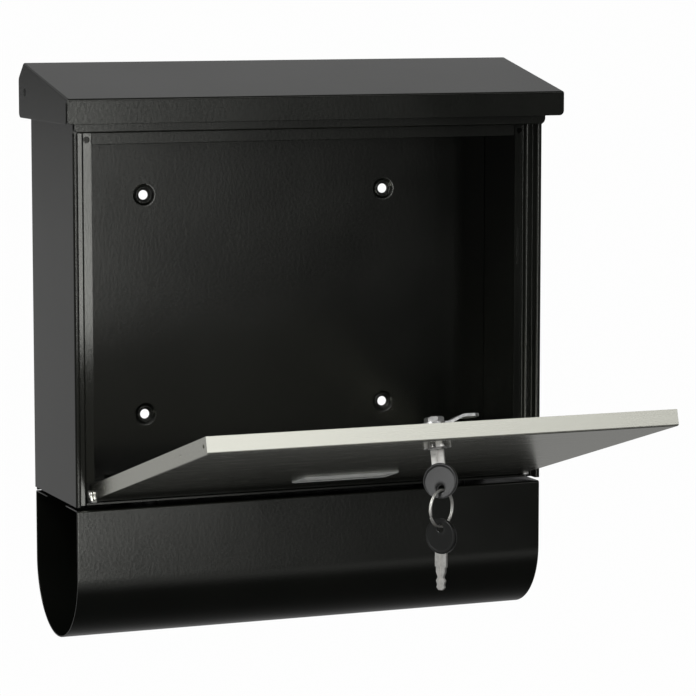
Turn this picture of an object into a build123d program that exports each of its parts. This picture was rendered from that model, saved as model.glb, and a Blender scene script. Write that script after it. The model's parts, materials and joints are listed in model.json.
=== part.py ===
from build123d import *
import os
from math import cos, hypot, radians, sin

os.makedirs("parts", exist_ok=True)

# Wall mailbox with a lifting roof, a drop-down door and a newspaper roll below.
# Millimetres. X right, Z up, the front faces -Y, the wall is the plane y = 0.
# The origin is the centre of the four wall holes. The door is drawn hanging open.

# Body
W = 360.0
D = 100.0
T = 1.0
BEND = 1.0
STAND = 2.0
BASE_Z = -130.0
FLOOR_UP = 2.4
UPSTAND = 6.0
HOLE_X = 190.0
HOLE_Z = 162.0
HOLE_D = 7.0

# Front frame
HEM = 4.0
RECESS = 7.0
LEDGE = 10.0
STOP_IN = 17.0
STOP_DEEP = 4.0
LEAN = 0.4
HEAD_Z = 132.5
HEAD_H = 20.0
HEAD_PROUD = 5.0
HEAD_TURN = 7.0
STOP_H = 8.8
NOTCH = 15.0
TAB_IN = 4.3
TAB_Z = 42.0
TAB_L = 27.0
TAB_W = 1.8

# Roof
ROOF_OVER = 9.2
ROOF_PROUD = 17.4
LIP_UP = 6.9
LIP_H = 17.6
ROOF_RISE = 22.0
RIDGE_IN = 13.8
CHEEK_IN = 0.5
CHEEK_DROP = 11.5
SLIT = 2.2
PIN_IN = 16.0
PIN_DROP = 21.0
PIN_D = 5.5

# Door
OPEN = 74.35
PIVOT_UP = 7.6
DOOR_SIDE = 2.0
DOOR_TOP = 3.3
DOOR_DOWN = 3.5
DOOR_T = 0.8
PAN = 11.5
FACE = 4.5
HINGE_D = 4.0

# Nameplate, lock and keys
PLATE_W = 72.0
PLATE_H = 28.0
PLATE_S = 63.0
PLATE_T = 1.3
LOCK_IN = 23.2
BARREL_D = 16.0
PLUG_D = 10.9
KEY_TURN = 42.0
BOW_D = 23.5
BOW_T = 3.2
BOW_HOLE = 5.3
RING_R = 12.15
WIRE = 1.3

# Newspaper roll
ROLL_GAP = 2.5
ROLL_H = 98.8
FLANGE = 27.0
ROLL_BEND = 1.2
SCREW_FRONT = 18.0
SCREW_BACK = 14.0
SCREW_D = 4.0
SCREW_HOLE = 4.2
CAP_D = 8.0
CAP_H = 2.2
SPACER_D = 12.0
NUT_W = 7.0
NUT_H = 3.2

# Derived places
HALF = W / 2
BACK = -STAND
FRONT = BACK - D
FLOOR_Z = BASE_Z + FLOOR_UP
STOP_Y = FRONT + RECESS + STOP_DEEP
STOP_Z = HEAD_Z - STOP_H
TURN_Y = STOP_Y - 1.4
NOTCH_Z = BASE_Z + NOTCH
ROOF_HALF = HALF + ROOF_OVER
ROOF_FRONT = FRONT - ROOF_PROUD
ROOF_BACK_Y = BACK - RIDGE_IN
LIP_Z = HEAD_Z + LIP_UP
ROOF_TOP_Z = LIP_Z + LIP_H + ROOF_RISE
CHEEK_Y = BACK - CHEEK_IN
CHEEK_Z = ROOF_TOP_Z - CHEEK_DROP
PIN_Y = BACK - PIN_IN
PIN_Z = ROOF_TOP_Z - PIN_DROP
BACK_TOP = PIN_Z - 6.0
BACK_LOW = BASE_Z - ROLL_GAP + 0.2
PIVOT_Y = FRONT + HEM - 0.5
PIVOT_Z = BASE_Z + PIVOT_UP
DOOR_W = W - 2 * LEDGE - 2 * DOOR_SIDE
DOOR_UP = HEAD_Z - DOOR_TOP - PIVOT_Z
LOCK_S = DOOR_UP - LOCK_IN
SLOPE = (ROOF_TOP_Z - LIP_Z - LIP_H) / (ROOF_BACK_Y - ROOF_FRONT)
A = radians(OPEN)
DOOR = Plane(origin=(0, PIVOT_Y, PIVOT_Z), x_dir=(1, 0, 0), z_dir=(0, -cos(A), -sin(A)))
LOCK = Plane(origin=DOOR.from_local_coords((0, LOCK_S, 0)), x_dir=(1, 0, 0), z_dir=DOOR.z_dir)


def folded(plane, points, radius=BEND, thickness=T):
    """Face of a folded sheet: its centre line with rounded bends, widened to the thickness."""
    with BuildSketch(plane) as flat:
        with BuildLine():
            FilletPolyline(*points, radius=radius)
        trace(line_width=thickness)
    return flat.sketch


def side_plane(x):
    """Plane across the box at x, drawn with Y to the right and Z up."""
    return Plane(origin=(x, 0, 0), x_dir=(0, 1, 0), z_dir=(1, 0, 0))


def front_plane(y):
    """Plane facing the viewer at y, drawn with X to the right and Z up."""
    return Plane(origin=(0, y, 0), x_dir=(1, 0, 0), z_dir=(0, -1, 0))


def roof_under(y, gap):
    """Height of the roof sheet's underside above the point y, less a gap."""
    top = LIP_Z + LIP_H + SLOPE * (y - ROOF_FRONT)
    return top - T * hypot(1, SLOPE) - gap


def dish_face(x, z):
    """Half section of a pressed dish round a wall hole, reaching back to the wall."""
    r = HOLE_D / 2
    with BuildSketch(Plane(origin=(x, 0, z), x_dir=(1, 0, 0), z_dir=(0, 0, 1))) as half:
        with BuildLine():
            Polyline(
                (r, 0),
                (r + 3.0, 0),
                (r + 5.8, BACK),
                (r + 8.5, BACK),
                (r + 8.5, BACK - T),
                (r + 5.2, BACK - T),
                (r + 2.4, -1.5 * T),
                (r, -0.8 * T),
                close=True,
            )
        make_face()
    return half.sketch


# Back panel: flat sheet with four pressed dishes that stand on the wall.
with BuildPart() as back_panel:
    with BuildSketch(front_plane(BACK)):
        with Locations((0, (BACK_LOW + BACK_TOP) / 2)):
            Rectangle(W - 2 * T, BACK_TOP - BACK_LOW)
        with GridLocations(HOLE_X, HOLE_Z, 2, 2):
            Circle(HOLE_D / 2 + 8.5, mode=Mode.SUBTRACT)
    extrude(amount=T)
    for sx in (-1, 1):
        for sz in (-1, 1):
            x = sx * HOLE_X / 2
            z = sz * HOLE_Z / 2
            revolve(dish_face(x, z), axis=Axis((x, 0, z), (0, 1, 0)))
back_panel.part.label = "back_panel"
export_step(back_panel.part, "parts/back_panel.step")


def wall_face(side):
    """Plan of a side wall: flat side, front hem, return, ledge and its turned edge, all one fold."""
    x = side * (HALF - T / 2)
    return folded(
        Plane.XY.offset(BASE_Z),
        [
            (x, BACK),
            (x, FRONT + T / 2),
            (side * (HALF - HEM + T / 2), FRONT + T / 2),
            (side * (HALF - HEM + T / 2), FRONT + RECESS + T / 2),
            (side * (HALF - LEDGE + T / 2), FRONT + RECESS + T / 2 - LEAN),
            (side * (HALF - LEDGE + T / 2), TURN_Y),
        ],
    )


def ear_points():
    """Outline of the wall above the front frame, with the ear that carries the roof pin."""
    return [
        (BACK, HEAD_Z),
        (BACK, BACK_TOP),
        (PIN_Y + 13, BACK_TOP),
        (PIN_Y + 13, PIN_Z - 2),
        (PIN_Y + 8, PIN_Z + 8),
        (PIN_Y - 8, roof_under(PIN_Y - 8, 0.15)),
        (FRONT, roof_under(FRONT, 0.15)),
        (FRONT, HEAD_Z),
    ]


# Left side wall, hinge side of the roof and frame of the door opening.
with BuildPart() as left_wall:
    extrude(wall_face(-1), amount=HEAD_Z - BASE_Z, dir=(0, 0, 1))
    with BuildSketch(side_plane(-HALF)):
        with BuildLine():
            Polyline(*ear_points(), close=True)
        make_face()
        with Locations((PIN_Y, PIN_Z)):
            Circle(PIN_D / 2, mode=Mode.SUBTRACT)
    extrude(amount=T)
left_wall.part.label = "left_wall"
export_step(left_wall.part, "parts/left_wall.step")

# Right side wall.
with BuildPart() as right_wall:
    extrude(wall_face(1), amount=HEAD_Z - BASE_Z, dir=(0, 0, 1))
    with BuildSketch(side_plane(HALF - T)):
        with BuildLine():
            Polyline(*ear_points(), close=True)
        make_face()
        with Locations((PIN_Y, PIN_Z)):
            Circle(PIN_D / 2, mode=Mode.SUBTRACT)
    extrude(amount=T)
right_wall.part.label = "right_wall"
export_step(right_wall.part, "parts/right_wall.step")

# Floor: back upstand, flat and front lip, cut back round the folded side frames.
SCREW_X = W / 3
SCREW_Y = (FRONT + SCREW_FRONT, BACK - SCREW_BACK)
with BuildPart() as floor_panel:
    floor_fold = folded(
        side_plane(-HALF + T),
        [
            (BACK - 1.5 * T, FLOOR_Z + UPSTAND),
            (BACK - 1.5 * T, FLOOR_Z - T / 2),
            (FRONT + RECESS + T / 2, FLOOR_Z - T / 2),
            (FRONT + RECESS + T / 2, BASE_Z),
        ],
    )
    extrude(floor_fold, amount=W - 2 * T, dir=(1, 0, 0))
    with BuildSketch(Plane.XY.offset(BASE_Z)):
        for side in (-1, 1):
            with Locations((side * (HALF - LEDGE / 2), (FRONT + TURN_Y) / 2)):
                Rectangle(LEDGE, TURN_Y - FRONT)
        for y in SCREW_Y:
            with Locations((-SCREW_X, y), (SCREW_X, y)):
                Circle(SCREW_HOLE / 2)
    extrude(amount=FLOOR_UP + T, mode=Mode.SUBTRACT)
floor_panel.part.label = "floor_panel"
export_step(floor_panel.part, "parts/floor_panel.step")

# Front header: a channel below the letter slot, with rounded lower corners.
HEAD_Y = FRONT - HEAD_PROUD
with BuildPart() as front_header:
    header_fold = folded(
        side_plane(-HALF),
        [
            (HEAD_Y + HEAD_TURN, HEAD_Z + HEAD_H - T / 2),
            (HEAD_Y + T / 2, HEAD_Z + HEAD_H - T / 2),
            (HEAD_Y + T / 2, HEAD_Z + T / 2),
            (STOP_Y + 2 * T, HEAD_Z + T / 2),
        ],
    )
    extrude(header_fold, amount=W, dir=(1, 0, 0))
    with BuildSketch(Plane.XY.offset(HEAD_Z - 1)):
        for side in (-1, 1):
            with Locations((side * (HALF - T / 2), FRONT + D / 4)):
                Rectangle(T, D / 2)
    extrude(amount=HEAD_H + 5, mode=Mode.SUBTRACT)
    with BuildSketch(front_plane(FRONT)):
        for side in (-1, 1):
            with Locations((side * (HALF - 2.25), HEAD_Z + 2.25)):
                Rectangle(4.5, 4.5)
            with Locations((side * (HALF - 4.5), HEAD_Z + 4.5)):
                Circle(4.5, mode=Mode.SUBTRACT)
    extrude(amount=HEAD_PROUD + 1, mode=Mode.SUBTRACT)
front_header.part.label = "front_header"
export_step(front_header.part, "parts/front_header.step")

# Stop rails: the inner step that the closed door meets on three sides.
with BuildPart() as top_stop_rail:
    with BuildSketch(front_plane(STOP_Y + T)):
        with Locations((0, (STOP_Z + HEAD_Z) / 2)):
            Rectangle(W - 2 * STOP_IN - 0.4, STOP_H)
    extrude(amount=T)
top_stop_rail.part.label = "top_stop_rail"
export_step(top_stop_rail.part, "parts/top_stop_rail.step")


def rail_face(side):
    """Plan of a side stop rail: an angle that carries on from the ledge's turned edge."""
    return folded(
        Plane.XY.offset(NOTCH_Z),
        [
            (side * (HALF - LEDGE + T / 2), TURN_Y),
            (side * (HALF - LEDGE + T / 2), STOP_Y + T / 2),
            (side * (HALF - STOP_IN), STOP_Y + T / 2 - LEAN),
        ],
    )


def corner_hole(side):
    """Round hole at the upper end of a side stop rail."""
    with BuildSketch(front_plane(STOP_Y + 2 * T)) as hole:
        with Locations((side * (HALF - STOP_IN + 3.7), STOP_Z + 3.6)):
            Circle(2.2)
    return hole.sketch


with BuildPart() as left_stop_rail:
    extrude(rail_face(-1), amount=HEAD_Z - NOTCH_Z, dir=(0, 0, 1))
    extrude(corner_hole(-1), amount=4 * T, dir=(0, -1, 0), mode=Mode.SUBTRACT)
left_stop_rail.part.label = "left_stop_rail"
export_step(left_stop_rail.part, "parts/left_stop_rail.step")

# Right stop rail: as the left one, with the raised tab seen on its face.
with BuildPart() as right_stop_rail:
    extrude(rail_face(1), amount=HEAD_Z - NOTCH_Z, dir=(0, 0, 1))
    extrude(corner_hole(1), amount=4 * T, dir=(0, -1, 0), mode=Mode.SUBTRACT)
    with BuildSketch(front_plane(STOP_Y)):
        with Locations((HALF - LEDGE - TAB_IN, TAB_Z)):
            SlotOverall(TAB_L, TAB_W, rotation=90)
    extrude(amount=0.8)
right_stop_rail.part.label = "right_stop_rail"
export_step(right_stop_rail.part, "parts/right_stop_rail.step")


def roof_outline(inset):
    """Corners of the roof's side outline, moved inwards by the inset on top, front and back slope."""
    rise = inset * hypot(1, SLOPE)
    back_slope = (CHEEK_Z - ROOF_TOP_Z) / (CHEEK_Y - ROOF_BACK_Y)
    drop = inset * hypot(1, back_slope)
    y0 = ROOF_FRONT + inset
    z0 = LIP_Z + LIP_H + SLOPE * (y0 - ROOF_FRONT) - rise
    y1 = ROOF_BACK_Y + (drop - rise) / (back_slope - SLOPE)
    z1 = LIP_Z + LIP_H + SLOPE * (y1 - ROOF_FRONT) - rise
    z2 = CHEEK_Z - drop
    return (y0, z0), (y1, z1), (CHEEK_Y, z2)


# Roof lid: sloped top, front lip, back slope and two side cheeks folded from one sheet.
with BuildPart() as roof_lid:
    p0, p1, p2 = roof_outline(0)
    with BuildSketch(side_plane(-ROOF_HALF)) as cheek:
        with BuildLine():
            Polyline((ROOF_FRONT, LIP_Z), p0, p1, p2, (CHEEK_Y, LIP_Z), close=True)
        make_face()
        fillet(cheek.vertices().sort_by_distance((CHEEK_Y, CHEEK_Z, 0))[0], 5)
        fillet(cheek.vertices().sort_by_distance((CHEEK_Y, LIP_Z, 0))[0], 4)
    extrude(amount=2 * ROOF_HALF)
    lines = roof_lid.edges().filter_by(GeomType.LINE)
    bends = [e for e in lines if e.length > 100 and e.center().Z > LIP_Z + 10 and e.center().Y < CHEEK_Y - 5]
    fillet(bends, 1.4)
    q0, q1, q2 = roof_outline(T)
    end = CHEEK_Y - 2.4
    with BuildSketch(side_plane(-ROOF_HALF + T)):
        with BuildLine():
            Polyline(
                (q0[0], LIP_Z - 5),
                q0,
                q1,
                (end, q2[1] + (q1[1] - q2[1]) / (q1[0] - q2[0]) * (end - q2[0])),
                (end, ROOF_TOP_Z),
                (CHEEK_Y + 8, ROOF_TOP_Z),
                (CHEEK_Y + 8, LIP_Z - 5),
                close=True,
            )
        make_face()
    extrude(amount=2 * (ROOF_HALF - T), mode=Mode.SUBTRACT)
    with BuildSketch(side_plane(-ROOF_HALF)):
        with Locations((PIN_Y, PIN_Z)):
            Circle(PIN_D / 2 + 0.05)
        with Locations((ROOF_FRONT + T + SLIT / 2, LIP_Z + LIP_H / 2 - 1.5)):
            Rectangle(SLIT, LIP_H - 3)
        with Locations((ROOF_FRONT + T + SLIT + 1.5, LIP_Z + 1.5)):
            Rectangle(3, 3)
        with Locations((ROOF_FRONT + T + SLIT + 3, LIP_Z + 3)):
            Circle(3, mode=Mode.SUBTRACT)
    extrude(amount=2 * ROOF_HALF, mode=Mode.SUBTRACT)
    with BuildSketch(front_plane(ROOF_FRONT + T)):
        for side in (-1, 1):
            with Locations((side * (ROOF_HALF - 1.75), LIP_Z + 1.75)):
                Rectangle(3.5, 3.5)
            with Locations((side * (ROOF_HALF - 3.5), LIP_Z + 3.5)):
                Circle(3.5, mode=Mode.SUBTRACT)
    extrude(amount=T, mode=Mode.SUBTRACT)
roof_lid.part.label = "roof_lid"
export_step(roof_lid.part, "parts/roof_lid.step")


def pin_face(side):
    """Half section of a roof pin: inner head, shank in the wall, collar and the stub in the cheek."""
    r = PIN_D / 2
    steps = [
        (HALF - T - 1.5, r + 1.8),
        (HALF - T, r + 1.8),
        (HALF - T, r),
        (HALF, r),
        (HALF, r + 2),
        (ROOF_HALF - T - 0.3, r + 2),
        (ROOF_HALF - T - 0.3, r),
        (ROOF_HALF - 0.3, r),
        (ROOF_HALF - 0.3, 0),
        (HALF - T - 1.5, 0),
    ]
    with BuildSketch(Plane(origin=(0, PIN_Y, PIN_Z), x_dir=(1, 0, 0), z_dir=(0, -1, 0))) as half:
        with BuildLine():
            Polyline(*[(side * x, h) for x, h in steps], close=True)
        make_face()
    return half.sketch


PIN_AXIS = Axis((0, PIN_Y, PIN_Z), (1, 0, 0))
with BuildPart() as lid_pin_left:
    revolve(pin_face(-1), axis=PIN_AXIS)
lid_pin_left.part.label = "lid_pin_left"
export_step(lid_pin_left.part, "parts/lid_pin_left.step")

with BuildPart() as lid_pin_right:
    revolve(pin_face(1), axis=PIN_AXIS)
lid_pin_right.part.label = "lid_pin_right"
export_step(lid_pin_right.part, "parts/lid_pin_right.step")

# Door: a shallow pan of thin sheet with a turned flange all round, rounder at the hinge edge.
with BuildPart() as door_panel:
    with BuildSketch(DOOR.offset(FACE - PAN)):
        with Locations((0, (DOOR_UP - DOOR_DOWN) / 2)):
            Rectangle(DOOR_W, DOOR_UP + DOOR_DOWN)
    extrude(amount=PAN)
    hinge_edge = DOOR.from_local_coords((0, -DOOR_DOWN, FACE))
    fillet(door_panel.edges().sort_by_distance(hinge_edge)[0], 3.2)
    free_edge = DOOR.from_local_coords((0, DOOR_UP, FACE))
    left_edge = DOOR.from_local_coords((-DOOR_W / 2, DOOR_UP / 2, FACE))
    right_edge = DOOR.from_local_coords((DOOR_W / 2, DOOR_UP / 2, FACE))
    fillet([door_panel.edges().sort_by_distance(p)[0] for p in (free_edge, left_edge, right_edge)], 1.3)
    mouth = DOOR.from_local_coords((0, DOOR_UP / 2, FACE - PAN))
    offset(amount=-DOOR_T, openings=door_panel.faces().sort_by_distance(mouth)[0])
    with BuildSketch(side_plane(-DOOR_W / 2 - 1)):
        small = [(31.8, 1.0), (DOOR_UP - 52.1, 1.0), (DOOR_UP - 6.0, 1.5)]
        for s, n, r in [(0, 0, HINGE_D / 2 + 0.05)] + [(s, -1.3, r) for s, r in small]:
            hole = DOOR.from_local_coords((0, s, n))
            with Locations((hole.Y, hole.Z)):
                Circle(r)
    extrude(amount=DOOR_W + 2, mode=Mode.SUBTRACT)
    with BuildSketch(LOCK.offset(FACE - 2)):
        Circle(BARREL_D / 2 + 0.1)
    extrude(amount=4, mode=Mode.SUBTRACT)
door_panel.part.label = "door_panel"
export_step(door_panel.part, "parts/door_panel.step")

# Hinge ears: round noses about the pins, feet on the floor, tabs that stop the open door.
EAR_X = DOOR_W / 2 + 0.5
EAR_T = 1.2
NOSE = 3.6
FOOT_Y = TURN_Y + 0.5
FOOT_L = 4.6


def hinge_ear(side):
    """Side view of a hinge ear, from the floor to the round nose and forward to the stop."""
    tip = DOOR.from_local_coords((0, 4.6, FACE + EAR_T + 0.2))
    with BuildSketch(side_plane(side * EAR_X)) as ear:
        with Locations((PIVOT_Y, PIVOT_Z)):
            Circle(NOSE)
        with BuildLine():
            Polyline(
                (PIVOT_Y + NOSE, PIVOT_Z),
                (FOOT_Y + FOOT_L, FLOOR_Z + 3 * EAR_T),
                (FOOT_Y + FOOT_L, FLOOR_Z),
                (tip.Y + 1, FLOOR_Z),
                (tip.Y, FLOOR_Z + 1),
                (tip.Y, tip.Z + 1.4),
                (PIVOT_Y - NOSE, PIVOT_Z),
                close=True,
            )
        make_face()
        with Locations((PIVOT_Y, PIVOT_Z)):
            Circle(HINGE_D / 2, mode=Mode.SUBTRACT)
    return ear.sketch


def hinge_foot(side):
    """Plan of the foot that turns outwards from the ear onto the floor."""
    with BuildSketch(Plane.XY.offset(FLOOR_Z)) as foot:
        with Locations((side * (EAR_X + 2.2), FOOT_Y + FOOT_L / 2)):
            Rectangle(4.4, FOOT_L)
    return foot.sketch


def hinge_stop(side):
    """Plan of the tab below the open door, drawn on the door's own plane."""
    with BuildSketch(DOOR.offset(FACE + 0.05)) as tab:
        with Locations((side * (EAR_X - 0.9), 3.3)):
            Rectangle(4.2, 2.0)
    return tab.sketch


with BuildPart() as hinge_bracket_left:
    extrude(hinge_ear(-1), amount=EAR_T, dir=(-1, 0, 0))
    extrude(hinge_foot(-1), amount=EAR_T, dir=(0, 0, 1))
    extrude(hinge_stop(-1), amount=EAR_T, dir=DOOR.z_dir)
hinge_bracket_left.part.label = "hinge_bracket_left"
export_step(hinge_bracket_left.part, "parts/hinge_bracket_left.step")

with BuildPart() as hinge_bracket_right:
    extrude(hinge_ear(1), amount=EAR_T, dir=(1, 0, 0))
    extrude(hinge_foot(1), amount=EAR_T, dir=(0, 0, 1))
    extrude(hinge_stop(1), amount=EAR_T, dir=DOOR.z_dir)
hinge_bracket_right.part.label = "hinge_bracket_right"
export_step(hinge_bracket_right.part, "parts/hinge_bracket_right.step")


def pin_disc(x, radius):
    """Round section of a hinge pin at x."""
    with BuildSketch(side_plane(x)) as disc:
        with Locations((PIVOT_Y, PIVOT_Z)):
            Circle(radius)
    return disc.sketch


with BuildPart() as hinge_pin_left:
    extrude(pin_disc(-EAR_X + 4.5, HINGE_D / 2), amount=4.5 + EAR_T, dir=(-1, 0, 0))
    extrude(pin_disc(-EAR_X - EAR_T, HINGE_D / 2 + 0.9), amount=0.7, dir=(-1, 0, 0))
hinge_pin_left.part.label = "hinge_pin_left"
export_step(hinge_pin_left.part, "parts/hinge_pin_left.step")

with BuildPart() as hinge_pin_right:
    extrude(pin_disc(EAR_X - 4.5, HINGE_D / 2), amount=4.5 + EAR_T, dir=(1, 0, 0))
    extrude(pin_disc(EAR_X + EAR_T, HINGE_D / 2 + 0.9), amount=0.7, dir=(1, 0, 0))
hinge_pin_right.part.label = "hinge_pin_right"
export_step(hinge_pin_right.part, "parts/hinge_pin_right.step")

# Nameplate: frame with a lip, clear window and paper card, flat on the door's outer face.
CARD_W = PLATE_W - 5
CARD_H = PLATE_H - 5
CARD_T = 0.3
PANE_T = 0.6
with BuildPart() as nameplate_frame:
    with BuildSketch(DOOR.offset(FACE)):
        with Locations((0, PLATE_S)):
            RectangleRounded(PLATE_W, PLATE_H, 2.5)
    extrude(amount=PLATE_T)
    crown = DOOR.from_local_coords((0, PLATE_S, FACE + PLATE_T))
    chamfer(nameplate_frame.faces().sort_by_distance(crown)[0].edges(), 0.7)
    with BuildSketch(DOOR.offset(FACE)):
        with Locations((0, PLATE_S)):
            Rectangle(CARD_W + 0.4, CARD_H + 0.4)
    extrude(amount=CARD_T + PANE_T, mode=Mode.SUBTRACT)
    with BuildSketch(DOOR.offset(FACE)):
        with Locations((0, PLATE_S)):
            RectangleRounded(CARD_W - 2, CARD_H - 2, 1)
    extrude(amount=PLATE_T + 1, mode=Mode.SUBTRACT)
nameplate_frame.part.label = "nameplate_frame"
export_step(nameplate_frame.part, "parts/nameplate_frame.step")

with BuildPart() as name_card:
    with BuildSketch(DOOR.offset(FACE)):
        with Locations((0, PLATE_S)):
            Rectangle(CARD_W, CARD_H)
    extrude(amount=CARD_T)
name_card.part.label = "name_card"
export_step(name_card.part, "parts/name_card.step")

with BuildPart() as nameplate_window:
    with BuildSketch(DOOR.offset(FACE + CARD_T)):
        with Locations((0, PLATE_S)):
            Rectangle(CARD_W, CARD_H)
    extrude(amount=PANE_T)
nameplate_window.part.label = "nameplate_window"
export_step(nameplate_window.part, "parts/nameplate_window.step")

# Lock housing: round bezel on the door face, barrel through it and a bore for the plug.
BORE_D = PLUG_D + 0.1
HEAD_D = PLUG_D + 2.1
REAR = -8.0
with BuildPart() as lock_housing:
    with BuildSketch(LOCK.offset(REAR)):
        Circle(BARREL_D / 2)
    extrude(amount=FACE - REAR)
    with BuildSketch(LOCK.offset(FACE)):
        Circle(BARREL_D / 2 + 1.5)
    extrude(amount=3)
    rim = LOCK.from_local_coords((0, BARREL_D / 2 + 1.5, FACE + 3))
    fillet(lock_housing.edges().sort_by_distance(rim)[0], 0.8)
    with BuildSketch(LOCK.offset(REAR)):
        Circle(BORE_D / 2)
    extrude(amount=FACE + 3 - REAR, mode=Mode.SUBTRACT)
    with BuildSketch(LOCK.offset(FACE + 1.5)):
        Circle(HEAD_D / 2 + 0.05)
    extrude(amount=1.5, mode=Mode.SUBTRACT)
lock_housing.part.label = "lock_housing"
export_step(lock_housing.part, "parts/lock_housing.step")

with BuildPart() as lock_nut:
    with BuildSketch(LOCK.offset(FACE - DOOR_T - 3.5)):
        RegularPolygon(radius=11, side_count=6, major_radius=False)
        Circle(BARREL_D / 2, mode=Mode.SUBTRACT)
    extrude(amount=3.5)
lock_nut.part.label = "lock_nut"
export_step(lock_nut.part, "parts/lock_nut.step")

# Lock plug: head, slotted cylinder with the keyway, square tail and threaded stud.
WAFER_N = (3.0, 0.5, -2.0, -4.5)
TAIL = 6.5
CAM_T = 1.9
STUD_D = 6.0
with BuildPart() as lock_plug:
    with BuildSketch(LOCK.offset(REAR)):
        Circle(PLUG_D / 2)
    extrude(amount=FACE + 1.5 - REAR)
    with BuildSketch(LOCK.offset(FACE + 1.5)):
        Circle(HEAD_D / 2)
    extrude(amount=1.8)
    with BuildSketch(LOCK.offset(REAR - 0.2 - CAM_T)):
        Rectangle(TAIL, TAIL)
    extrude(amount=0.2 + CAM_T)
    with BuildSketch(LOCK.offset(REAR - 6)):
        Circle(STUD_D / 2)
    extrude(amount=6 - 0.2 - CAM_T)
    with BuildSketch(LOCK.offset(REAR + 0.2)):
        Rectangle(7.4, 2.3, rotation=KEY_TURN)
    extrude(amount=FACE + 4 - REAR, mode=Mode.SUBTRACT)
    for n in WAFER_N:
        with BuildSketch(LOCK.offset(n - 0.55)):
            Rectangle(PLUG_D + 2, 4.8, rotation=KEY_TURN)
        extrude(amount=1.1, mode=Mode.SUBTRACT)
lock_plug.part.label = "lock_plug"
export_step(lock_plug.part, "parts/lock_plug.step")

with BuildPart() as lock_wafers:
    for n in WAFER_N:
        with BuildSketch(LOCK.offset(n - 0.55)):
            Rectangle(9.6, 4.6, rotation=KEY_TURN)
            Rectangle(7.4, 2.4, rotation=KEY_TURN, mode=Mode.SUBTRACT)
        extrude(amount=1.0)
lock_wafers.part.label = "lock_wafers"
export_step(lock_wafers.part, "parts/lock_wafers.step")

# Lock cam: a cranked arm, at rest pointing along the door so that the door is free.
CAM_N = REAR - 0.2 - CAM_T / 2
CAM_L = 31.5
CAM_STEP = 4.2
with BuildPart() as lock_cam:
    arm = folded(
        Plane(origin=LOCK.origin, x_dir=(1, 0, 0), z_dir=-LOCK.y_dir),
        [(0, CAM_N), (9, CAM_N), (19, CAM_N - CAM_STEP), (CAM_L, CAM_N - CAM_STEP)],
        12,
        CAM_T,
    )
    extrude(arm, amount=6, both=True)
    tip = [LOCK.from_local_coords((CAM_L, s, CAM_N - CAM_STEP)) for s in (-6, 6)]
    fillet([lock_cam.edges().sort_by_distance(p)[0] for p in tip], 4.5)
    with BuildSketch(LOCK.offset(CAM_N - CAM_STEP - CAM_T)):
        with Locations((CAM_L - 4.5, 0)):
            Circle(1.2)
    extrude(amount=2 * CAM_T, mode=Mode.SUBTRACT)
    with BuildSketch(LOCK.offset(CAM_N - CAM_T / 2)):
        Circle(8)
    extrude(amount=CAM_T)
    with BuildSketch(LOCK.offset(CAM_N - CAM_T / 2)):
        Rectangle(TAIL, TAIL)
    extrude(amount=CAM_T, mode=Mode.SUBTRACT)
lock_cam.part.label = "lock_cam"
export_step(lock_cam.part, "parts/lock_cam.step")

with BuildPart() as cam_nut:
    with BuildSketch(LOCK.offset(CAM_N - CAM_T / 2 - 3.5)):
        RegularPolygon(radius=5.75, side_count=6, major_radius=False)
        Circle(STUD_D / 2, mode=Mode.SUBTRACT)
    extrude(amount=3.5)
cam_nut.part.label = "cam_nut"
export_step(cam_nut.part, "parts/cam_nut.step")

# Keys. Both are drawn on a plane whose second axis runs from the blade to the bow.
TURN = radians(KEY_TURN)
KEY_X = LOCK.x_dir * cos(TURN) + LOCK.y_dir * sin(TURN)
KEY = Plane(origin=LOCK.origin, x_dir=KEY_X, z_dir=KEY_X.cross(LOCK.z_dir))
SHOULDER = FACE + 3.4
BOW_OUT = 28.5
HOLE_OUT = 34.0
KEY_TIP = -7.5
SHANK_OUT = 25.0


def blade_face(plane):
    """Outline of a key blade: wide shank, two cut edges and a narrow tip."""
    shank = [(4.5, SHANK_OUT), (4.5, SHOULDER), (3.6, SHOULDER), (3.6, 4.5)]
    cuts = [(2.3, 1.4), (2.3, 0.7), (3.5, -1.0), (3.5, -1.6), (2.7, -3.6), (2.7, -4.6), (3.2, -5.6)]
    half = shank + cuts + [(1.6, KEY_TIP)]
    with BuildSketch(plane) as outline:
        with BuildLine():
            Polyline(*half, *[(-x, n) for x, n in reversed(half)], close=True)
        make_face()
    return outline.sketch


def groove_face(plane, depth):
    """Plan of the long groove milled in one face of a blade."""
    with BuildSketch(plane.offset(depth)) as groove:
        with Locations((0.4, (KEY_TIP + 16) / 2)):
            Rectangle(1.8, 16 - KEY_TIP)
    return groove.sketch


def bow_face(plane):
    """Round grip of a key with the hole for the ring."""
    with BuildSketch(plane) as grip:
        with Locations((0, BOW_OUT)):
            Circle(BOW_D / 2)
        with Locations((0, HOLE_OUT)):
            Circle(BOW_HOLE / 2, mode=Mode.SUBTRACT)
    return grip.sketch


def pocket_face(plane):
    """Pocket in the grip that takes the end of the blade."""
    with BuildSketch(plane) as pocket:
        with Locations((0, SHANK_OUT - 7.5)):
            Rectangle(9, 15)
    return pocket.sketch


def grip_rims(grip, plane):
    """The two outer circles of a grip."""
    ends = [plane.from_local_coords((0, BOW_OUT - BOW_D / 2, side * BOW_T / 2)) for side in (-1, 1)]
    return [grip.edges().sort_by_distance(p)[0] for p in ends]


with BuildPart() as key_blade:
    extrude(blade_face(KEY), amount=1, both=True)
    extrude(groove_face(KEY, 0.45), amount=1, dir=KEY.z_dir, mode=Mode.SUBTRACT)
    extrude(groove_face(KEY, -0.45), amount=1, dir=-KEY.z_dir, mode=Mode.SUBTRACT)
key_blade.part.label = "key_blade"
export_step(key_blade.part, "parts/key_blade.step")

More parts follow.
